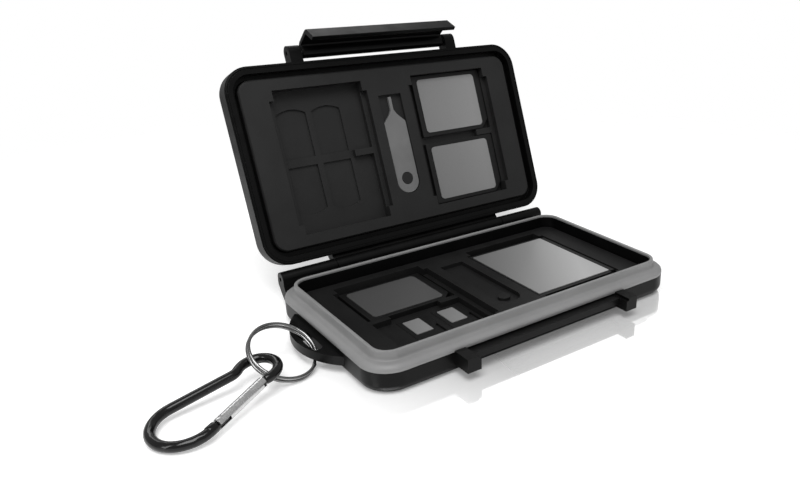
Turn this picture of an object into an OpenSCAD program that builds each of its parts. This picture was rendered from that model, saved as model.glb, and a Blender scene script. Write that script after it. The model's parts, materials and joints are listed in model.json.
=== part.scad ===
// Hinged hard case for memory cards, open, with its key ring and clip.
// Origin: middle of the case's underside. +X along the case, +Y to the hinge, +Z up.

/* [Case] */
// Outside length of the case
case_l = 122.4; // [112:0.2:135]
// Outside depth of the case
case_w = 69.6; // [66:0.2:80]
// Plan radius of the outside corners
corner_r = 9.6; // [8.6:0.1:12]
// Height of the base's hard shell, up to the seal
base_h = 7.1; // [6.9:0.1:9]
// Thickness of the base's floor
floor_t = 1.5; // [1:0.1:2]
// Radius along the base's bottom edge
base_edge_r = 3; // [1:0.1:3.5]
// Width of the wall under the seal, from its inner face to the outside
wall_w = 4.6; // [4.4:0.1:5.4]

/* [Seal] */
// Height of the seal's lip over the hard shell
lip_h = 5.2; // [4.4:0.1:5.4]
// Thickness of the seal's lip
lip_t = 1.2; // [1.1:0.05:1.3]
// Height of the seal's outer flange
flange_h = 2.25; // [1.6:0.05:2.3]

/* [Lid] */
// Height of the lid's shell
lid_h = 9.7; // [9:0.1:12]
// Radius along the lid's top edge
lid_edge_r = 3.5; // [1:0.1:4]
// How far the lid's outside stands in from the base's
lid_inset = 0.3; // [0.1:0.1:0.8]
// Gap between the closed lid's rim and the seal's flange
rim_gap = 0.35; // [0.3:0.05:0.8]
// Depth of the groove that takes the seal's lip
groove_h = 3.4; // [3.4:0.1:4.2]
// Angle that the lid is opened to
lid_open = 110.4; // [60:0.1:110.4]

/* [Hinge] */
// Distance of the hinge axis behind the case's back
hinge_back = 3.66; // [3.5:0.01:4.2]
// Height of the hinge axis over the hard shell
hinge_up = 3.23; // [3.1:0.01:3.4]
// Radius of the knuckles
knuckle_r = 2.45; // [2.2:0.05:2.5]
// Length of each end knuckle
end_knuckle_l = 20.5; // [12:0.5:22]
// Distance of an end knuckle's outer end from the middle
knuckle_end = 57.7; // [52:0.1:58]
// Radius of the hinge pin
hinge_pin_r = 0.75; // [0.5:0.05:1]
// Gap at the side of each moving knuckle
side_gap = 0.3; // [0.2:0.05:0.6]

/* [Latch] */
// Length of the latch plate
latch_l = 59.2; // [40:0.2:62]
// Distance of the latch pivot in front of the lid
pivot_front = 3.9; // [3.7:0.1:4.2]
// Height of the latch pivot over the lid's rim
pivot_up = 4.2; // [3.9:0.1:4.4]
// Radius of the latch's barrel
barrel_r = 2.2; // [1.8:0.1:2.3]
// Radius of the latch pin
latch_pin_r = 0.7; // [0.5:0.05:0.9]
// Thickness of the latch plate
latch_t = 1.5; // [1.2:0.1:1.6]
// Width of each ear and catch block
ear_w = 4.6; // [3:0.1:6]
// Radius of an ear's round front
ear_r = 2.6; // [2.4:0.1:3]
// Angle that the latch is swung out from its closed place
latch_open = 20; // [0:1:40]

/* [Inserts] */
// Thickness of each insert
insert_t = 6; // [5.8:0.1:6.2]
// Gap between an insert and the wall round it
insert_gap = 0.3; // [0.2:0.05:0.4]
// Distance of each bay's middle from the case's middle
bay_x = 27.7; // [27:0.1:30]
// Depth of the ledge round a card bay
ledge_d = 2.4; // [2:0.1:2.8]
// Depth of the floor under the SD cards
sd_floor_d = 4.5; // [4.4:0.05:4.7]
// Extra depth of the microSD pockets
micro_extra = 0.75; // [0.4:0.05:0.8]
// Width of each raised block beside the middle of a bay
block_w = 7.4; // [4:0.1:8]
// Depth of the pockets for the eject tool
tool_d = 1.5; // [1.3:0.1:2.4]

/* [Cards] */
// Length of an SD card
sd_l = 32; // [31.6:0.1:32.4]
// Width of an SD card
sd_w = 24; // [23.6:0.1:24.2]
// Thickness of an SD card's body
sd_t = 1.9; // [1.6:0.1:1.95]
// Thickness of a card's label
label_t = 0.25; // [0.1:0.05:0.3]
// Width of the CF card
cf_w = 36.4; // [36:0.1:36.8]
// Length of the CF card
cf_l = 42.8; // [42:0.1:43]
// Thickness of the CF card's body
cf_t = 3.05; // [2.8:0.05:3.1]
// Depth of the CF card's ledge
cf_d = 3.3; // [3.2:0.05:3.5]
// Width of a microSD card
micro_w = 11; // [10.8:0.1:11.1]
// Length of a microSD card
micro_l = 15; // [14.8:0.1:15.2]
// Thickness of a microSD card
micro_t = 0.9; // [0.6:0.05:1]
// Room round each card in its pocket
card_gap = 0.2; // [0.15:0.05:0.4]

/* [Eject tool] */
// Width of the eject tool
tool_w = 9.2; // [8:0.1:9.4]
// Length of the eject tool
tool_l = 37; // [34:0.5:37]
// Thickness of the eject tool
tool_t = 1; // [0.6:0.1:1.2]
// Radius of the tool's hole
tool_hole_r = 2.4; // [2:0.1:2.6]

/* [Key lug] */
// How far the lug stands out from the case's side
lug_out = 7.3; // [6.8:0.1:8]
// Thickness of the lug
lug_t = 3; // [2.4:0.1:3]
// Height of the lug's underside
lug_z = 2.9; // [2.8:0.1:3]
// Length of the slot in the lug
slot_l = 13; // [12.5:0.1:14]
// Width of the slot in the lug
slot_w = 3.4; // [3.2:0.1:3.5]

/* [Key ring] */
// Radius of the split ring, to the middle of its wire
ring_r = 10; // [9.6:0.1:10.2]
// Radius of the ring's wire
ring_wire_r = 0.5; // [0.4:0.02:0.5]
// Step of the ring's wire from one turn to the next
ring_pitch = 1.42; // [1.41:0.01:1.5]

/* [Clip] */
// Radius of the clip's rod
rod_r = 1.48; // [1.3:0.02:1.5]
// Radius of the clip's gate
gate_r = 1.58; // [1.4:0.02:1.64]
// Radius of the clip's big end, to the middle of its rod
big_r = 8.7; // [8.4:0.1:9]
// Radius of the clip's small end, to the middle of its rod
small_r = 5.7; // [5.5:0.05:5.8]
// Distance between the middles of the two ends
clip_l = 24.6; // [24:0.1:26]
// Radius of the gate's pin
gate_pin_r = 0.45; // [0.3:0.05:0.5]

/* [Hidden] */
$fn = 64;
e = 0.01;
run = 0.05;                                 // running clearance of a pin in its bore
core_x = case_l / 2 - corner_r;             // centres of the plan corners
core_y = case_w / 2 - corner_r;
in_r = corner_r - wall_w;                   // plan radius of the base's inner face
skirt_r = in_r + lip_t * 0.7;               // outer face of the upstand inside the lip
lip_top = base_h + lip_h;
upstand_z = lip_top - 0.9;
face_z = floor_t + insert_t;                // the base insert's face
rim_z = base_h + flange_h + rim_gap;        // the lid's rim when it is closed
lid_r = corner_r - lid_inset;
lid_front = core_y + lid_r;
groove_r = in_r + lip_t + 0.35;
lid_face_z = rim_z + 1.08;                  // the lid insert's face when it is closed
lid_top = rim_z + lid_h;
hinge_y = case_w / 2 + hinge_back;
hinge_z = base_h + hinge_up;
mid_knuckle = knuckle_end - end_knuckle_l - side_gap;
pivot_y = -(lid_front + pivot_front);
pivot_z = rim_z + pivot_up;
ear_x = latch_l / 2 + 0.7;                  // inner face of an ear
latch_out = -pivot_y + 3.1;                 // outer face of the latch plate
rail_out = latch_out - latch_t - 1.6;       // front of the catch rail
block_out = latch_out + 0.2;
sd_bay_x = sd_l + 2;                        // the tall pocket of a bay
sd_bay_y = 2 * (sd_w + 2 * card_gap) + 2.4;
cf_bay_x = cf_w + 1.1;                      // the wide pocket of a bay
cf_bay_y = cf_l + 1.1;
micro_x = micro_w + 0.05;
micro_step = micro_w + 2.3;
lug_mid_y = 2;
lug_half = 17.5;                            // half the lug's length along the case's side
lug_rad = (lug_half * lug_half + lug_out * lug_out) / (2 * lug_out);
slot_x = -(case_l / 2 + 3.8);
slot_y = -0.4;
ring_mid = [slot_x - 9.6, -2.9, 6.6];       // middle of the split ring
ring_az = -65.6;                            // way that the ring's axis points
ring_el = 57.1;
eye_mid = [slot_x - 19.05, -7.62, 6.16];    // middle of the clip's small end
clip_az = 23.34;
clip_tilt = 7.66;
big_mid = [4.9, 0.9];
small_mid = big_mid + [clip_l, -1];
arm_a = -15;                                // heading of the clip's straight arm
bend_r = 4;
arm_0 = big_mid + big_r * [-sin(arm_a), cos(arm_a)];
// the bend's middle lies bend_r to the left of the arm, and touches the small end's circle
bend_base = arm_0 + bend_r * [-sin(arm_a), cos(arm_a)] - small_mid;
along = [cos(arm_a), sin(arm_a)];
bend_b = bend_base * along;
arm_len = -bend_b - sqrt(bend_b * bend_b - bend_base * bend_base + pow(small_r + bend_r, 2));
bend_mid = small_mid + bend_base + arm_len * along;
bend_end = atan2(bend_mid[1] - small_mid[1], bend_mid[0] - small_mid[0]);
gate_a0 = -78;                              // where the big end stops, at the gate's hinge
gate_a1 = -112;                             // where the small end stops, at the gate's tip
gate_0 = big_mid + big_r * [cos(gate_a0), sin(gate_a0)];
gate_1 = small_mid + small_r * [cos(gate_a1), sin(gate_a1)];
gate_len = norm(gate_1 - gate_0);
gate_head = atan2(gate_1[1] - gate_0[1], gate_1[0] - gate_0[0]);

// A rounded rectangle round the case's corner centres
module plan(r) {
    square([2 * core_x, 2 * (core_y + r)], center = true);
    square([2 * (core_x + r), 2 * core_y], center = true);
    for (sx = [-1, 1], sy = [-1, 1])
        translate([sx * core_x, sy * core_y]) circle(r);
}

module slab(r, z0, z1) {
    translate([0, 0, z0]) linear_extrude(z1 - z0) plan(r);
}

// Carries a section, drawn as distance from the corner centres against height, round the case
module round_case() {
    for (i = [0, 1]) rotate([0, 0, 180 * i]) {
        translate([core_x, core_y, 0]) rotate_extrude(angle = 90) children();
        translate([-core_x, core_y, 0]) rotate([0, 0, 90]) rotate_extrude(angle = 90) children();
        translate([-core_x, core_y, 0]) rotate([90, 0, 90]) linear_extrude(2 * core_x) children();
        translate([core_x, core_y, 0]) rotate([90, 0, 0]) linear_extrude(2 * core_y) children();
    }
}

// Draws a section in the Y Z plane and extrudes it along X
module along_x(x0, x1) {
    translate([x0, 0, 0]) rotate([90, 0, 90]) linear_extrude(x1 - x0) children();
}

module rod_x(x0, x1, y, z, r) {
    translate([x0, y, z]) rotate([0, 90, 0]) cylinder(h = x1 - x0, r = r);
}

// Turns what is drawn on the closed lid to where the open lid has it
module on_lid() {
    translate([0, hinge_y, hinge_z]) rotate([-lid_open, 0, 0]) translate([0, -hinge_y, -hinge_z]) children();
}

module on_latch() {
    on_lid() translate([0, pivot_y, pivot_z]) rotate([-latch_open, 0, 0])
        translate([0, -pivot_y, -pivot_z]) children();
}

// A face-up frame on the closed lid's insert, with +Y away from the hinge
module on_lid_face() {
    on_lid() translate([0, 0, lid_face_z]) rotate([180, 0, 0]) children();
}

module base_shell() color("#1a1a1a") difference() {
    union() {
        round_case() {
            square([corner_r - base_edge_r, base_h]);
            translate([0, base_edge_r]) square([corner_r, base_h - base_edge_r]);
            translate([corner_r - base_edge_r, base_edge_r]) intersection() {
                circle(base_edge_r);
                translate([0, -base_edge_r]) square(base_edge_r);
            }
        }
        translate([-core_x, -core_y, 0]) cube([2 * core_x, 2 * core_y, base_h]);
        slab(skirt_r, base_h - e, upstand_z);
        for (s = [0, 1]) mirror([s, 0, 0]) {
            along_x(knuckle_end - end_knuckle_l, knuckle_end) hinge_arm();
            rod_x(knuckle_end - end_knuckle_l, knuckle_end, hinge_y, hinge_z, knuckle_r);
            catch_block();
        }
        along_x(-ear_x - e, ear_x + e) catch_rail();
        lug();
    }
    slab(in_r, floor_t, lip_top);
    rod_x(-knuckle_end - 1, knuckle_end + 1, hinge_y, hinge_z, hinge_pin_r + run);
    translate([slot_x, slot_y, lug_z - 1]) lug_slot(lug_t + 2);
}

module hinge_arm() {
    back = case_w / 2;
    polygon([[back - 0.8, 2.5], [back - 0.8, base_h - 0.2], [back + 0.3, base_h - 0.2],
        [hinge_y - knuckle_r, hinge_z - 1.8], [hinge_y - knuckle_r, hinge_z],
        [hinge_y + knuckle_r, hinge_z], [hinge_y + knuckle_r, hinge_z - 2.4],
        [hinge_y, hinge_z - 5.8], [back + 1.7, 2.5]]);
}

module catch_rail() {
    front = case_w / 2;
    polygon([[-front + 1, 3.3], [-front + 1, base_h - 0.4], [-front, base_h - 0.4],
        [-rail_out, base_h - 0.15], [-rail_out, 4.65], [-rail_out + 2.2, 3.3]]);
}

module catch_block() {
    front = case_w / 2;
    translate([ear_x + 1, -block_out, 3.1]) cube([ear_w - 0.7, block_out - front - 0.15, 4.6]);
    translate([ear_x, -block_out, 3.1]) cube([ear_w + 0.3, block_out - front + 1, base_h - 3.3]);
}

// Rounded tab on the short side, an arc in plan
module lug() {
    translate([0, 0, lug_z]) linear_extrude(lug_t) intersection() {
        translate([-case_l / 2 - lug_out + lug_rad, lug_mid_y]) circle(lug_rad, $fn = 120);
        translate([-case_l / 2 - lug_out - 1, lug_mid_y - lug_half])
            square([lug_out + 3, 2 * lug_half]);
    }
}

module lug_slot(h) {
    half = (slot_l - slot_w) / 2;
    for (s = [-1, 1]) translate([0, s * half, 0]) cylinder(h = h, r = slot_w / 2);
    translate([-slot_w / 2, -half, 0]) cube([slot_w, 2 * half, h]);
}

module base_seal() color("#8a8a8a") round_case() {
    lip_r = in_r + lip_t;
    crest = base_h + flange_h;
    polygon([[in_r, upstand_z], [in_r, lip_top - 0.2], [in_r + 0.2, lip_top],
        [lip_r - 0.2, lip_top], [lip_r, lip_top - 0.2], [lip_r + 0.05, crest + 0.7],
        [lip_r + 0.4, crest + 0.1], [lip_r + 1, crest - 0.05], [lip_r + 1.7, crest],
        [corner_r - 0.9, crest - 0.25], [corner_r - 0.2, crest - 0.85], [corner_r, crest - 1.4],
        [corner_r, base_h], [skirt_r, base_h], [skirt_r, upstand_z]]);
}

// A card bay's hollows, seen face up: ledge, floor and the blocks that part the two cards
module bay(ledge, blocks) {
    translate([-cf_bay_x / 2, -cf_bay_y / 2, -ledge]) cube([cf_bay_x, cf_bay_y, ledge + 1]);
    difference() {
        translate([-sd_bay_x / 2, -sd_bay_y / 2, -sd_floor_d]) cube([sd_bay_x, sd_bay_y, sd_floor_d + 1]);
        for (s = blocks) translate([s * (sd_bay_x - block_w) / 2, 0, -sd_floor_d])
            translate([-block_w / 2 - (s < 0 ? 1 : 0), -1.2, -1]) cube([block_w + 1, 2.4, sd_floor_d - ledge + 1]);
    }
}

// MicroSD pockets in one row, with arched ends; row is 1 for the upper row, -1 for the lower
module micro_row(xs, row) {
    arch_r = 10.8;
    end = 1.5 + micro_l + 2.5;
    for (x = xs) translate([x, 0, -sd_floor_d - micro_extra]) linear_extrude(micro_extra + 1)
        mirror([0, row < 0 ? 1 : 0]) intersection() {
            translate([-micro_x / 2, 1.5]) square([micro_x, end - 1.5]);
            translate([0, end - arch_r]) circle(arch_r);
        }
}

module tool_pocket() {
    r = tool_w / 2 + card_gap;
    end = tool_l / 2 + 0.9;
    difference() {
        translate([0, 0, -tool_d]) linear_extrude(tool_d + 1) {
            translate([0, r - end + 0.6]) circle(r);
            translate([-r, r - end + 0.6]) square([2 * r, 2 * end - r - 0.6]);
        }
        translate([0, tool_hole_y(), -tool_d - 1]) cylinder(h = 2, r = tool_hole_r - card_gap);
    }
}

function tool_hole_y() = -tool_l / 2 + 5.6;

module insert_body() {
    r = in_r - insert_gap;
    translate([0, 0, -insert_t]) linear_extrude(insert_t - 0.5) plan(r);
    round_case() polygon([[0, -1], [r, -1], [r, -0.5], [r - 0.5, 0], [0, 0]]);
    translate([-core_x, -core_y, -1]) cube([2 * core_x, 2 * core_y, 1]);
}

module base_insert() color("#2a2a2a") translate([0, 0, face_z]) difference() {
    insert_body();
    translate([-bay_x, 0, 0]) {
        bay(ledge_d, [-1, 1]);
        micro_row([-2.8, -2.8 + micro_step], -1);
    }
    translate([bay_x, 0, 0]) bay(cf_d, []);
    tool_pocket();
}

module lid_insert() color("#303030") on_lid_face() difference() {
    insert_body();
    translate([-bay_x, 0, 0]) {
        bay(ledge_d, [1]);
        micro_row([-10.5, -10.5 + micro_step], 1);
        micro_row([-10.5, -10.5 + micro_step], -1);
    }
    translate([bay_x, 0, 0]) bay(ledge_d, [1]);
    tool_pocket();
}

module lid_shell() color("#1c1c1c") difference() {
    union() {
        on_lid() difference() {
            union() {
                round_case() translate([0, lid_top]) mirror([0, 1]) {
                    square([lid_r - lid_edge_r, lid_h]);
                    translate([0, lid_edge_r]) square([lid_r, lid_h - lid_edge_r - 0.5]);
                    translate([0, lid_edge_r]) square([lid_r - 0.5, lid_h - lid_edge_r]);
                    translate([lid_r - lid_edge_r, lid_edge_r]) intersection() {
                        circle(lid_edge_r);
                        translate([0, -lid_edge_r]) square(lid_edge_r);
                    }
                }
                translate([-core_x, -core_y, rim_z]) cube([2 * core_x, 2 * core_y, lid_h]);
                for (s = [0, 1]) mirror([s, 0, 0]) ear();
                along_x(-mid_knuckle, mid_knuckle) lid_web();
                rod_x(-mid_knuckle, mid_knuckle, hinge_y, hinge_z, knuckle_r);
            }
            slab(in_r, rim_z - 1, lid_face_z + insert_t);
            slab(groove_r, rim_z - 1, rim_z + groove_h);
            // fine line round the rim
            round_case() translate([lid_r - 1.15, rim_z - 1]) square([0.25, 1.25]);
            rod_x(-ear_x - ear_w - 1, ear_x + ear_w + 1, pivot_y, pivot_z, latch_pin_r + run);
        }
        along_x(-mid_knuckle, mid_knuckle) stop_heel();
    }
    rod_x(-knuckle_end, knuckle_end, hinge_y, hinge_z, hinge_pin_r + run);
}

module ear() {
    rod_x(ear_x, ear_x + ear_w, pivot_y, pivot_z, ear_r);
    translate([ear_x, pivot_y, pivot_z - ear_r]) cube([ear_w, pivot_front + 0.6, 2 * ear_r]);
}

module lid_web() {
    back = lid_front;
    polygon([[back - 0.7, rim_z + 2.5], [back - 0.7, rim_z + 6.2], [back + 1, rim_z + 6],
        [hinge_y + 1.3, hinge_z + 2], [hinge_y, hinge_z], [hinge_y - 2.1, hinge_z + 0.7]]);
}

// Foot on the lid's knuckle that meets the base's back wall when the lid is open
module stop_heel() {
    face = case_w / 2 + 0.35;
    polygon([[face, hinge_z - 5.3], [face, hinge_z - 3.4], [hinge_y - 1.8, hinge_z - 0.8],
        [hinge_y, hinge_z - 0.8], [hinge_y - 1.3, hinge_z - 5.3]]);
}

module hinge_pin() color("#b0b0b0") {
    rod_x(-knuckle_end + 0.6, knuckle_end - 0.6, hinge_y, hinge_z, hinge_pin_r);
}

module latch() color("#141414") on_latch() difference() {
    union() {
        rod_x(-latch_l / 2, latch_l / 2, pivot_y, pivot_z, barrel_r);
        along_x(-latch_l / 2, latch_l / 2) latch_section();
    }
    rod_x(-latch_l / 2 - 1, latch_l / 2 + 1, pivot_y, pivot_z, latch_pin_r + run);
}

module latch_section() {
    out = -latch_out;
    inner = out + latch_t;
    tip = out + 5.6;
    polygon([[out, pivot_z - 8.8], [out, pivot_z - 1.9], [out + 1.2, pivot_z + 1.3],
        [pivot_y, pivot_z + barrel_r], [pivot_y, pivot_z - 1.3], [inner, pivot_z - 2.4],
        [inner, pivot_z - 8.6], [tip + 0.3, pivot_z - 11.4], [tip, pivot_z - 13.1],
        [out + 0.4, pivot_z - 10.1]]);
}

module latch_pin() color("#b0b0b0") on_lid() {
    rod_x(-ear_x - ear_w + 0.4, ear_x + ear_w - 0.4, pivot_y, pivot_z, latch_pin_r);
}

module eject_tool() color("#9a9a9a") on_lid_face() translate([0, 0, -tool_d]) linear_extrude(tool_t) difference() {
    r = tool_w / 2;
    shoulder = tool_l / 2 - 9.7;
    union() {
        translate([0, r - tool_l / 2]) circle(r);
        translate([-r, r - tool_l / 2]) square([tool_w, shoulder - r + tool_l / 2]);
        polygon([[-r, shoulder - e], [r, shoulder - e], [1.6, shoulder + 3], [0.6, shoulder + 4.8],
            [0.6, tool_l / 2], [-0.6, tool_l / 2], [-0.6, shoulder + 4.8], [-1.6, shoulder + 3]]);
    }
    translate([0, tool_hole_y()]) circle(tool_hole_r);
}

// An SD card seen face up, with its contact end to +X; row is 1 for the upper pocket
module sd_place(x, row) {
    translate([x + 0.6, row * (1.2 + card_gap + sd_w / 2), -sd_floor_d]) children();
}

module sd_card() color("#262626") linear_extrude(sd_t) {
    cut = 3.4;
    hx = sd_l / 2;
    hy = sd_w / 2;
    polygon([[-hx, -hy], [hx - cut, -hy], [hx, -hy + cut], [hx, hy], [-hx, hy]]);
}

module sd_label() color("#858585") translate([-0.5, 0, sd_t]) soft_plate(27, 21, 1.5, label_t);

module soft_plate(w, l, r, t) {
    linear_extrude(t) {
        square([w - 2 * r, l], center = true);
        square([w, l - 2 * r], center = true);
        for (sx = [-1, 1], sy = [-1, 1]) translate([sx * (w / 2 - r), sy * (l / 2 - r)]) circle(r);
    }
}

module sd_card_1() on_lid_face() sd_place(bay_x, 1) sd_card();
module sd_label_1() on_lid_face() sd_place(bay_x, 1) sd_label();
module sd_card_2() on_lid_face() sd_place(bay_x, -1) sd_card();
module sd_label_2() on_lid_face() sd_place(bay_x, -1) sd_label();
module sd_card_3() translate([0, 0, face_z]) sd_place(-bay_x, 1) sd_card();
module sd_label_3() translate([0, 0, face_z]) sd_place(-bay_x, 1) sd_label();

module cf_place() {
    translate([bay_x, 0, face_z - cf_d]) children();
}

module cf_card() color("#2c2c2c") cf_place() difference() {
    translate([-cf_w / 2, -cf_l / 2, 0]) cube([cf_w, cf_l, cf_t]);
    for (s = [-1, 1]) translate([cf_w / 2, s * cf_l / 2, cf_t / 2]) cube([5, 2.4, 5], center = true);
}

module cf_label() color("#a0a0a0") cf_place() translate([-0.9, 0, cf_t])
    soft_plate(cf_w - 3, cf_l - 3.2, 0.5, label_t);

module micro_place(i) {
    x = -2.8 + i * micro_step;
    translate([-bay_x + x, -(1.5 + card_gap + micro_l / 2), face_z - sd_floor_d - micro_extra]) children();
}

module micro_card() color("#202020") linear_extrude(micro_t) {
    hx = micro_w / 2;
    hy = micro_l / 2;
    polygon([[-hx, hy], [-hx, -hy], [hx - 1.3, -hy], [hx - 1.3, -hy + 6.2], [hx, -hy + 7.5],
        [hx, hy]]);
}

module micro_label() color("#909090") translate([-0.9, 1.2, micro_t]) soft_plate(6.2, 9.4, 0.4, label_t);

module micro_card_1() micro_place(0) micro_card();
module micro_label_1() micro_place(0) micro_label();
module micro_card_2() micro_place(1) micro_card();
module micro_label_2() micro_place(1) micro_label();

// A round tube along a path; each station is its x, y, z and the angle of its left side
function tube_points(path, r, sides) = [for (q = path, k = [0 : sides - 1]) let (b = 360 * k / sides)
    [q[0] + r * cos(b) * cos(q[3]), q[1] + r * cos(b) * sin(q[3]), q[2] + r * sin(b)]];
function tube_faces(last, sides) = concat(
    [for (i = [0 : last - 1], k = [0 : sides - 1]) let (a = i * sides + k, b = i * sides + (k + 1) % sides)
        each [[a, a + sides, b], [b, a + sides, b + sides]]],
    [for (k = [1 : sides - 2]) [0, k, k + 1]],
    [for (k = [1 : sides - 2]) let (f = last * sides) [f, f + k + 1, f + k]]);

module tube(path, r, sides) {
    polyhedron(tube_points(path, r, sides), tube_faces(len(path) - 1, sides), convexity = 6);
}

// The split ring: one wire of two flat turns, with a short step from one to the other
ring_steps = 40;
ring_n = 76;
ring_step_a = 328;
function ring_rise(a) = let (t = min(max((a - ring_step_a) / 25, 0), 1)) t * t * (3 - 2 * t) - 0.5;
ring_path = [for (i = [0 : ring_n]) let (a = 360 * i / ring_steps)
    [ring_r * cos(a + 65), ring_r * sin(a + 65), ring_pitch * ring_rise(a), a + 65 + 180]];
function spot(q) = [q[0], q[1], q[2]];
ring_gap = min([for (i = [0 : ring_n - 20], j = [i + 20 : ring_n])
    norm(spot(ring_path[i]) - spot(ring_path[j]))]) - 2 * ring_wire_r;
echo("least gap between the ring's turns", ring_gap);

module split_ring() color("#c8c8c8") translate(ring_mid) rotate([0, 90 - ring_el, ring_az])
    tube(ring_path, ring_wire_r, 8);

module on_clip() {
    translate(eye_mid) rotate([0, -clip_tilt, clip_az])
        translate([-small_mid[0], -small_mid[1], 0]) children();
}

// Stations along an arc of the clip's rod; flip is 180 where the rod turns left, or else 0
function arc_path(mid, r, a0, a1, n, flip) = [for (i = [0 : n]) let (a = a0 + (a1 - a0) * i / n)
    [mid[0] + r * cos(a), mid[1] + r * sin(a), 0, a + flip]];
clip_path = concat(
    arc_path(big_mid, big_r, 360 + gate_a0, 90 + arm_a, 26, 0),
    [for (i = [1 : 5]) let (p = arm_0 + along * arm_len * i / 6) [p[0], p[1], 0, 90 + arm_a]],
    arc_path(bend_mid, bend_r, arm_a - 90, bend_end - 180, 6, 180),
    [for (q = arc_path(small_mid, small_r, bend_end, gate_a1, 24, 0)) if (q[3] < bend_end - 1) q]);

module clip_tongue(len) {
    translate([-1, -gate_r * 0.75, -0.45]) cube([len + 1, gate_r * 1.5, 0.9]);
}

module clip_body() color("#141414") on_clip() {
    tube(clip_path, rod_r, 12);
    translate([gate_0[0], gate_0[1], 0]) rotate([0, 0, gate_head]) difference() {
        clip_tongue(4.4);
        translate([3, 0, -5]) cylinder(h = 10, r = gate_pin_r + run);
    }
    translate([gate_1[0], gate_1[1], 0]) rotate([0, 0, gate_head + 180]) clip_tongue(2);
}

module on_gate() {
    on_clip() translate([gate_0[0], gate_0[1], 0]) rotate([0, 0, gate_head]) children();
}

module clip_gate() color("#c4c4c4") on_gate() difference() {
    translate([1.3, 0, 0]) rotate([0, 90, 0]) cylinder(h = gate_len - 2.5, r = gate_r);
    translate([0, -4, -0.55]) cube([5, 8, 1.1]);
    translate([gate_len - 2.4, -4, -0.55]) cube([4, 8, 1.1]);
    translate([3, 0, -5]) cylinder(h = 10, r = gate_pin_r + run);
}

module gate_pin() color("#b0b0b0") on_gate() translate([3, 0, -gate_r + 0.1])
    cylinder(h = 2 * gate_r - 0.2, r = gate_pin_r);

base_shell();
base_seal();
base_insert();
lid_shell();
lid_insert();
hinge_pin();
latch();
latch_pin();
eject_tool();
sd_card_1();
sd_label_1();
sd_card_2();
sd_label_2();
sd_card_3();
sd_label_3();
cf_card();
cf_label();
micro_card_1();
micro_label_1();
micro_card_2();
micro_label_2();
split_ring();
clip_body();
clip_gate();
gate_pin();
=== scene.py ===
import json
from math import cos, pi, radians, sin

import bmesh
import bpy
from mathutils import Matrix, Vector

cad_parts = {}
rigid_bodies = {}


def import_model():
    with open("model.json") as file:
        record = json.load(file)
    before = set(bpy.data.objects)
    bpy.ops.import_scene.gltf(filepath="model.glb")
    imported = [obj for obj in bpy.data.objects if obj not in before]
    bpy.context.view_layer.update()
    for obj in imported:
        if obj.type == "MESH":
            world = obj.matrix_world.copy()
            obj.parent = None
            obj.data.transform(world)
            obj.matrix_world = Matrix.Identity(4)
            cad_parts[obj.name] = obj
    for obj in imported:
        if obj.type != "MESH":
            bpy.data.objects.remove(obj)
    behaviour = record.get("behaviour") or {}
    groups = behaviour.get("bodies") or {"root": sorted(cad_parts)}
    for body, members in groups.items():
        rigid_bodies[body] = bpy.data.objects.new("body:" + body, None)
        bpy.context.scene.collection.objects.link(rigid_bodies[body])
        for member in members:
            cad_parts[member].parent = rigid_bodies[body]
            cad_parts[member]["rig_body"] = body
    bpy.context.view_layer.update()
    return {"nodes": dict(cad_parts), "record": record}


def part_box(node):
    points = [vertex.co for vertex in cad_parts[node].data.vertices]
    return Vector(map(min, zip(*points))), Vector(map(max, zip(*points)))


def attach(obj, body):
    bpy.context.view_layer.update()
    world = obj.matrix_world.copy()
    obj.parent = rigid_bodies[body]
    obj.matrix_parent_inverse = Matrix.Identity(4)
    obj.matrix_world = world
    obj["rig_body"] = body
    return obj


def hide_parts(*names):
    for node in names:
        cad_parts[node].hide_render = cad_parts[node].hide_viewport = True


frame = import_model()
MM = 0.001

# The photograph's camera
PHOTO_W, PHOTO_H = 800, 504
SENSOR_W = 36
FOCAL_PX = 758.39
AXIS_PX = (519.84, 256.03)
CAMERA_AT = Vector((-142.74, -198.33, 119.8)) * MM
PITCH, YAW, ROLL = radians(22.74), radians(38.88), radians(0.67)

BOX = {name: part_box(name) for name in frame["nodes"]}
JOINT = {j["name"]: j for j in frame["record"]["behaviour"]["joints"]}


# Materials

CLOUD, WIPE, LINES, PAPER = 60, 180, 900, 2500  # noise cells to a metre
GRAIN_BUMP = 0.35
GLOSS_SPREAD = 0.06                             # how uneven a moulded piece's gloss is
COAT_ROUGH = 0.12
PAPER_ROUGH = 0.32
FINE_DEPTH = 0.01 * MM                          # of a scratch, or of paper's grain
# the slant of the labels' painted sheen: each label is painted lighter along it, as if lit across
SHEEN_SLANT = Vector((0.85, -0.5, 0.15)).normalized()


def new_material(name):
    material = bpy.data.materials.new(name)
    material.use_nodes = True
    tree = material.node_tree
    shader = next(n for n in tree.nodes if n.type == "BSDF_PRINCIPLED")
    return material, tree, shader


def noise(tree, scale, detail=4.0, rough=0.55, stretch=None):
    """A noise texture in the object's own space, with scale cells to a metre."""
    place = tree.nodes.new("ShaderNodeTexCoord")
    wide = tree.nodes.new("ShaderNodeMapping")
    wide.inputs["Scale"].default_value = stretch or (1, 1, 1)
    texture = tree.nodes.new("ShaderNodeTexNoise")
    texture.inputs["Scale"].default_value = scale
    texture.inputs["Detail"].default_value = detail
    texture.inputs["Roughness"].default_value = rough
    tree.links.new(place.outputs["Object"], wide.inputs["Vector"])
    tree.links.new(wide.outputs["Vector"], texture.inputs["Vector"])
    return texture.outputs["Fac"]


def ramp(tree, factor, stops):
    """A colour ramp over factor; each stop is a place from 0 to 1 and a colour."""
    node = tree.nodes.new("ShaderNodeValToRGB")
    while len(node.color_ramp.elements) < len(stops):
        node.color_ramp.elements.new(0.5)
    for element, (at, colour) in zip(node.color_ramp.elements, stops):
        element.position = at
        element.color = (*colour, 1)
    tree.links.new(factor, node.inputs["Fac"])
    return node.outputs["Color"]


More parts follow.
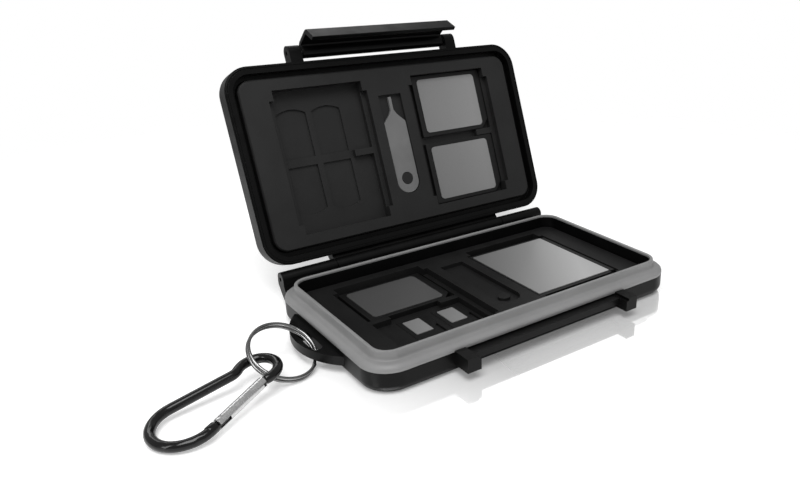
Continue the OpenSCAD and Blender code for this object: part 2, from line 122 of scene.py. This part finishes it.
def spread(tree, factor, low, high, at_low=0.3, at_high=0.7):
    """Maps factor's span from at_low to at_high onto low to high."""
    node = tree.nodes.new("ShaderNodeMapRange")
    node.inputs["From Min"].default_value = at_low
    node.inputs["From Max"].default_value = at_high
    node.inputs["To Min"].default_value = low
    node.inputs["To Max"].default_value = high
    tree.links.new(factor, node.inputs["Value"])
    return node.outputs["Result"]


def bump(tree, shader, height, strength, distance):
    node = tree.nodes.new("ShaderNodeBump")
    node.inputs["Strength"].default_value = strength
    node.inputs["Distance"].default_value = distance
    tree.links.new(height, node.inputs["Height"])
    tree.links.new(node.outputs["Normal"], shader.inputs["Normal"])


def grey(screen):
    """A screen grey, 0 to 255, as a linear colour."""
    c = screen / 255
    linear = c / 12.92 if c <= 0.04045 else ((c + 0.055) / 1.055) ** 2.4
    return (linear, linear, linear)


def moulded(name, dark, light, rough, grain_mm, grain_depth, metal=0.0, coat=0.0, shine=0.5):
    """Moulded plastic, rubber or coated metal: cloudy colour, uneven gloss and a fine grain."""
    material, tree, shader = new_material(name)
    cloud = noise(tree, CLOUD)
    tree.links.new(ramp(tree, cloud, [(0.3, grey(dark)), (0.7, grey(light))]), shader.inputs["Base Color"])
    wipe = noise(tree, WIPE, stretch=(1, 0.4, 1))
    gloss = spread(tree, wipe, rough - GLOSS_SPREAD, rough + GLOSS_SPREAD)
    tree.links.new(gloss, shader.inputs["Roughness"])
    bump(tree, shader, noise(tree, 1000 / grain_mm, detail=3), GRAIN_BUMP, grain_depth * MM)
    shader.inputs["Metallic"].default_value = metal
    shader.inputs["Specular IOR Level"].default_value = shine
    if coat:
        shader.inputs["Coat Weight"].default_value = coat
        shader.inputs["Coat Roughness"].default_value = COAT_ROUGH
    return material


def brushed(name, dark, light, rough, stretch, scratch=0.2):
    """Drawn or polished metal, with fine scratches along it."""
    material, tree, shader = new_material(name)
    lines = noise(tree, LINES, detail=5, stretch=stretch)
    tree.links.new(ramp(tree, lines, [(0.3, grey(dark)), (0.7, grey(light))]), shader.inputs["Base Color"])
    tree.links.new(spread(tree, lines, rough - 0.05, rough + 0.07), shader.inputs["Roughness"])
    bump(tree, shader, lines, scratch, FINE_DEPTH)
    shader.inputs["Metallic"].default_value = 1.0
    return material


def label_print_and_sheen(name, dark, light, low, high):
    """A card's label: a painted sheen, a slanted shade from dark to light, with a fine paper grain."""
    material, tree, shader = new_material(name)
    place = tree.nodes.new("ShaderNodeTexCoord")
    along = tree.nodes.new("ShaderNodeVectorMath")
    along.operation = "DOT_PRODUCT"
    along.inputs[1].default_value = SHEEN_SLANT
    tree.links.new(place.outputs["Object"], along.inputs[0])
    middle = (dark + light) / 2
    # painted sheen: this slanted ramp stands in for light falling across the label, not for its print
    shade = ramp(
        tree,
        spread(tree, along.outputs["Value"], 0, 1, low, high),
        [(0.0, grey(dark)), (0.45, grey(middle)), (0.8, grey(light)), (1.0, grey(light * 0.96))],
    )
    grain = noise(tree, PAPER, detail=2)
    mix = tree.nodes.new("ShaderNodeMix")
    mix.data_type = "RGBA"
    mix.blend_type = "OVERLAY"
    mix.inputs["Factor"].default_value = 0.08
    tree.links.new(shade, mix.inputs["A"])
    tree.links.new(grain, mix.inputs["B"])
    tree.links.new(mix.outputs["Result"], shader.inputs["Base Color"])
    gloss = spread(tree, grain, PAPER_ROUGH - 0.04, PAPER_ROUGH + 0.05)
    tree.links.new(gloss, shader.inputs["Roughness"])
    bump(tree, shader, grain, 0.15, FINE_DEPTH)
    return material


MATERIALS = {
    "case_black": moulded("case_black", 5, 8, 0.36, 0.6, 0.02, shine=0.14),
    "latch_black": moulded("latch_black", 5, 8, 0.36, 0.5, 0.015, shine=0.14),
    "seal_grey": moulded("seal_grey", 118, 128, 0.5, 0.5, 0.02),
    "insert_black": moulded("insert_black", 14, 18, 0.5, 0.4, 0.03, shine=0.3),
    "insert_grey": moulded("insert_grey", 24, 29, 0.5, 0.4, 0.03, shine=0.3),
    "card_black": moulded("card_black", 12, 16, 0.42, 0.3, 0.015, shine=0.35),
    "tool_grey": moulded("tool_grey", 98, 112, 0.42, 0.4, 0.015, metal=0.15),
    "steel": brushed("steel", 120, 160, 0.3, (0.2, 1, 1)),
    "ring_steel": brushed("ring_steel", 122, 140, 0.2, (1, 1, 1), 0.05),
    "clip_black": moulded("clip_black", 6, 9, 0.2, 0.4, 0.006, coat=0.4, shine=0.2),
    "gate_silver": brushed("gate_silver", 205, 218, 0.24, (1, 1, 1), 0.03),
}


def dress_nodes():
    for entry in frame["record"]["subparts"]:
        name = entry["material_slot"]
        if name in MATERIALS:
            put_on(frame["nodes"][entry["node"]], MATERIALS[name])


def put_on(thing, material):
    thing.data.materials.clear()
    thing.data.materials.append(material)


def dress_labels():
    """Each label's painted sheen runs from dark to light along the slant, between its own corners."""
    # the dark and light ends of each label's painted sheen, as screen greys
    sheen_levels = {
        "sd_label_1": (112, 128), "sd_label_2": (108, 124), "sd_label_3": (66, 76),
        "cf_label": (96, 168), "micro_label_1": (112, 124), "micro_label_2": (112, 124),
    }
    for name, (dark, light) in sheen_levels.items():
        low, high = BOX[name]
        corners = (low, high, Vector((low.x, high.y, low.z)), Vector((high.x, low.y, high.z)))
        along = [SHEEN_SLANT.dot(corner) for corner in corners]
        put_on(frame["nodes"][name], label_print_and_sheen("print_" + name, dark, light, min(along), max(along)))


# Making pieces

def piece(name, body, bm, material):
    """A smooth mesh object from bm, in its material and slot, riding on its body."""
    mesh = bpy.data.meshes.new(name)
    bmesh.ops.recalc_face_normals(bm, faces=bm.faces)
    bm.to_mesh(mesh)
    bm.free()
    for face in mesh.polygons:
        face.use_smooth = True
    thing = bpy.data.objects.new(name, mesh)
    bpy.context.scene.collection.objects.link(thing)
    put_on(thing, MATERIALS[material])
    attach(thing, body)
    return thing


def tube(bm, stations):
    """Skins rings of points and caps both ends; each station is a list of points in order."""
    rings = [[bm.verts.new(p) for p in station] for station in stations]
    count = len(rings[0])
    for a, b in zip(rings, rings[1:]):
        for i in range(count):
            k = (i + 1) % count
            bm.faces.new((a[i], a[k], b[k], b[i]))
    bm.faces.new(rings[0][::-1])
    bm.faces.new(rings[-1])


def round_station(at, side, up, radius, sides):
    """Points in a circle about at, in the plane of side and up."""
    turns = [2 * pi * k / sides for k in range(sides)]
    return [at + radius * (cos(a) * side + sin(a) * up) for a in turns]


# Rounded copies of the nodes whose solids have sharp edges, or facets as the clip's rod has.
# The widths are in millimetres.

SOFT_EDGES = {
    "base_shell": 0.3, "lid_shell": 0.3, "base_seal": 0.15, "base_insert": 0.12, "lid_insert": 0.1,
    "latch": 0.25, "eject_tool": 0.12, "sd_card_1": 0.15, "sd_card_2": 0.15, "sd_card_3": 0.15,
    "cf_card": 0.12, "micro_card_1": 0.08, "micro_card_2": 0.08, "sd_label_1": 0.06, "sd_label_2": 0.06,
    "sd_label_3": 0.06, "cf_label": 0.06, "micro_label_1": 0.05, "micro_label_2": 0.05,
    "clip_gate": 0.15, "clip_body": 0.1,
}
WELD = 0.001 * MM                               # corners nearer than this become one
FLAT = radians(0.6)                             # faces that differ by less are joined
SHARP = radians(32)                             # edges that turn by more are rounded
CREASE = radians(50)                            # and shading breaks where they turn by more than this


def soften(node, width):
    """A copy of a node with its triangles joined into flat faces and its sharp edges rounded."""
    source = frame["nodes"][node]
    mesh = source.data.copy()
    thing = bpy.data.objects.new(node + "_soft", mesh)
    bpy.context.scene.collection.objects.link(thing)
    bm = bmesh.new()
    bm.from_mesh(mesh)
    bmesh.ops.remove_doubles(bm, verts=bm.verts, dist=WELD)
    bmesh.ops.dissolve_limit(bm, angle_limit=FLAT, verts=bm.verts, edges=bm.edges)
    bmesh.ops.triangulate(bm, faces=bm.faces, quad_method="BEAUTY", ngon_method="BEAUTY")
    edges = [e for e in bm.edges if len(e.link_faces) == 2 and e.calc_face_angle(0) > SHARP]
    bmesh.ops.bevel(
        bm, geom=edges, offset=width * MM, offset_type="OFFSET", segments=2, profile=0.6,
        affect="EDGES", clamp_overlap=True, miter_outer="ARC",
    )
    bm.to_mesh(mesh)
    bm.free()
    for face in mesh.polygons:
        face.use_smooth = True
    mesh.set_sharp_from_angle(angle=CREASE)
    weighted = thing.modifiers.new("even_normals", "WEIGHTED_NORMAL")
    weighted.keep_sharp = True
    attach(thing, source["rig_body"])
    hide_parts(node)


# The split ring, finer than its solid

RING_R, WIRE_R, RING_PITCH = 10 * MM, 0.5 * MM, 1.42 * MM
RING_TURNS_A, STEP_A, STEP_SPAN = 684, 328, 25  # the wire's whole turn, and where it steps over, in degrees
RING_START, RING_AZ, RING_TILT = 65, -65.6, 32.9
RING_STEPS, WIRE_SIDES, END_TAPER = 240, 14, 0.55
RING_MID = Vector((-74.6, -2.9, 6.6)) * MM


def make_ring():
    """Two turns of one wire that steps over to its second turn, with its ends drawn in."""
    turn = Matrix.Rotation(radians(RING_AZ), 4, "Z") @ Matrix.Rotation(radians(RING_TILT), 4, "Y")
    place = Matrix.Translation(RING_MID) @ turn
    stations = []
    for i in range(RING_STEPS + 1):
        a = RING_TURNS_A * i / RING_STEPS
        t = min(max((a - STEP_A) / STEP_SPAN, 0), 1)
        rise = RING_PITCH * (t * t * (3 - 2 * t) - 0.5)
        out = Vector((cos(radians(a + RING_START)), sin(radians(a + RING_START)), 0))
        at = RING_R * out + Vector((0, 0, rise))
        radius = WIRE_R * (END_TAPER if i in (0, RING_STEPS) else 1)
        circle = round_station(at, out, Vector((0, 0, 1)), radius, WIRE_SIDES)
        stations.append([place @ p for p in circle])
    bm = bmesh.new()
    tube(bm, stations)
    ring = piece("ring_wire", "ring", bm, "ring_steel")
    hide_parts("split_ring")


# The clip's collar, which closes the gap between its rod and the gate's hinge end

ROD_R = 1.48 * MM
COLLAR_R, COLLAR_L, COLLAR_BACK = 1.06 * ROD_R, 2.6 * MM, 3.6 * MM
COLLAR_WALL, COLLAR_ROUND = 0.18 * MM, 0.25 * MM
COLLAR_SIDES = 32


def make_collar():
    """A short sleeve with rounded ends, round the rod and in line with the gate."""
    pin = Vector(JOINT["gate_hinge"]["pos_m"])
    normal = Vector(JOINT["gate_hinge"]["axis"])
    gate = frame["nodes"]["clip_gate"]
    far = max((v.co for v in gate.data.vertices), key=lambda p: (p - pin).length)
    axis = (far - pin) - normal * (far - pin).dot(normal)
    axis.normalize()
    centre = pin - axis * COLLAR_BACK
    side = axis.orthogonal().normalized()
    up = axis.cross(side)
    half = COLLAR_L / 2
    shoulder = COLLAR_R - 0.3 * COLLAR_ROUND
    shape = [
        (-half, COLLAR_R - COLLAR_WALL),
        (-half + 0.2 * COLLAR_ROUND, shoulder),
        (-half + COLLAR_ROUND, COLLAR_R),
        (half - COLLAR_ROUND, COLLAR_R),
        (half - 0.2 * COLLAR_ROUND, shoulder),
        (half, COLLAR_R - COLLAR_WALL),
    ]
    bm = bmesh.new()
    tube(bm, [round_station(centre + axis * x, side, up, r, COLLAR_SIDES) for x, r in shape])
    piece("hinge_collar", "clip", bm, "clip_black")


# The floor, the lights and the camera

FLOOR_HALF = 3.0
FLOOR_TONE, FLOOR_ROUGH = 0.94, 0.3
FLOOR_FADE = (0.16, 0.34)                       # where it fades into the white behind it
FLOOR_LIFT = 0.28

# The floor mirrors the case most about MIRROR_AT, and less with distance
MIRROR = 0.55
MIRROR_AT = (0.02, -0.045, 0)
MIRROR_REACH = (0.04, 0.12)
MIRROR_ROUGH = 0.08
ROOM_LEVEL = 0.42                               # how bright the room is to all but the camera


def make_floor():
    """A white floor that keeps the case's shadow, mirrors its front and fades into the white."""
    h = FLOOR_HALF
    bm = bmesh.new()
    bm.faces.new([bm.verts.new(p) for p in ((-h, -h, 0), (h, -h, 0), (h, h, 0), (-h, h, 0))])
    mesh = bpy.data.meshes.new("floor")
    bm.to_mesh(mesh)
    bm.free()
    floor = bpy.data.objects.new("floor", mesh)
    bpy.context.scene.collection.objects.link(floor)
    material, tree, shader = new_material("floor_white")
    shader.inputs["Base Color"].default_value = (FLOOR_TONE, FLOOR_TONE, FLOOR_TONE, 1)
    shader.inputs["Roughness"].default_value = FLOOR_ROUGH
    # what the camera sees directly is lifted to white, and keeps its shadow
    path = tree.nodes.new("ShaderNodeLightPath")
    lift = tree.nodes.new("ShaderNodeMath")
    lift.operation = "MULTIPLY"
    lift.inputs[1].default_value = FLOOR_LIFT
    tree.links.new(path.outputs["Is Camera Ray"], lift.inputs[0])
    tree.links.new(lift.outputs["Value"], shader.inputs["Emission Strength"])
    shader.inputs["Emission Color"].default_value = (1, 1, 1, 1)
    # far from the object the floor fades into the white behind it
    place = tree.nodes.new("ShaderNodeTexCoord")
    far = tree.nodes.new("ShaderNodeVectorMath")
    far.operation = "LENGTH"
    tree.links.new(place.outputs["Object"], far.inputs[0])
    fade = spread(tree, far.outputs["Value"], 0, 1, *FLOOR_FADE)
    off = tree.nodes.new("ShaderNodeVectorMath")
    off.operation = "DISTANCE"
    off.inputs[1].default_value = MIRROR_AT
    tree.links.new(place.outputs["Object"], off.inputs[0])
    polish = tree.nodes.new("ShaderNodeBsdfGlossy")
    polish.inputs["Color"].default_value = (1 / ROOM_LEVEL, 1 / ROOM_LEVEL, 1 / ROOM_LEVEL, 1)
    polish.inputs["Roughness"].default_value = MIRROR_ROUGH
    top = tree.nodes.new("ShaderNodeMixShader")
    tree.links.new(spread(tree, off.outputs["Value"], MIRROR, 0, *MIRROR_REACH), top.inputs["Fac"])
    tree.links.new(shader.outputs["BSDF"], top.inputs[1])
    tree.links.new(polish.outputs["BSDF"], top.inputs[2])
    clear = tree.nodes.new("ShaderNodeBsdfTransparent")
    blend = tree.nodes.new("ShaderNodeMixShader")
    tree.links.new(fade, blend.inputs["Fac"])
    tree.links.new(top.outputs["Shader"], blend.inputs[1])
    tree.links.new(clear.outputs["BSDF"], blend.inputs[2])
    out = next(n for n in tree.nodes if n.type == "OUTPUT_MATERIAL")
    tree.links.new(blend.outputs["Shader"], out.inputs["Surface"])
    floor.data.materials.append(material)


# Each light: where it stands, what it faces, its size in metres and its power in watts

LIGHTS = {
    "key": ((-0.2, -0.25, 0.7), (0, 0, 0.03), (0.5, 0.5), 5.0),
    "back": ((0.1, 0.55, 0.5), (0, 0.05, 0.04), (0.5, 0.12), 0.5),
    "left": ((-0.6, -0.1, 0.3), (-0.05, 0, 0.02), (0.1, 0.4), 0.6),
}


def make_light(name, at, aim, size, power):
    data = bpy.data.lights.new(name, "AREA")
    data.shape = "RECTANGLE"
    data.size, data.size_y = size
    data.energy = power
    light = bpy.data.objects.new(name, data)
    bpy.context.scene.collection.objects.link(light)
    light.location = at
    light.rotation_euler = (Vector(aim) - Vector(at)).to_track_quat("-Z", "Y").to_euler()


def make_world():
    """A white room, dimmer to all rays but those that the camera sees it by."""
    world = bpy.data.worlds.new("studio")
    bpy.context.scene.world = world
    world.use_nodes = True
    tree = world.node_tree
    shade = next(n for n in tree.nodes if n.type == "BACKGROUND")
    shade.inputs["Color"].default_value = (1, 1, 1, 1)
    path = tree.nodes.new("ShaderNodeLightPath")
    seen = tree.nodes.new("ShaderNodeMath")
    seen.operation = "MAXIMUM"
    tree.links.new(path.outputs["Is Camera Ray"], seen.inputs[0])
    tree.links.new(path.outputs["Is Transmission Ray"], seen.inputs[1])
    level = tree.nodes.new("ShaderNodeMapRange")
    level.inputs["To Min"].default_value = ROOM_LEVEL
    level.inputs["To Max"].default_value = 1.0
    tree.links.new(seen.outputs["Value"], level.inputs["Value"])
    tree.links.new(level.outputs["Result"], shade.inputs["Strength"])


def make_camera():
    data = bpy.data.cameras.new("photo_camera")
    data.sensor_fit = "HORIZONTAL"
    data.sensor_width = SENSOR_W
    data.lens = FOCAL_PX * SENSOR_W / PHOTO_W
    data.shift_x = (PHOTO_W / 2 - AXIS_PX[0]) / PHOTO_W
    data.shift_y = (AXIS_PX[1] - PHOTO_H / 2) / PHOTO_W
    data.clip_start = 0.01
    camera = bpy.data.objects.new("photo_camera", data)
    bpy.context.scene.collection.objects.link(camera)
    ahead = Vector((sin(YAW) * cos(PITCH), cos(YAW) * cos(PITCH), -sin(PITCH)))
    right = Vector((cos(YAW), -sin(YAW), 0))
    up = right.cross(ahead)
    side = cos(ROLL) * right + sin(ROLL) * up
    top = -sin(ROLL) * right + cos(ROLL) * up
    turn = Matrix((side, top, -ahead)).transposed().to_4x4()
    camera.matrix_world = Matrix.Translation(CAMERA_AT) @ turn
    bpy.context.scene.camera = camera


make_camera()
dress_nodes()
dress_labels()
for node, width in SOFT_EDGES.items():
    soften(node, width)
make_ring()
make_collar()
make_floor()
make_world()
for name, (at, aim, size, power) in LIGHTS.items():
    make_light(name, at, aim, size, power)
bpy.context.scene.view_settings.view_transform = "Standard"
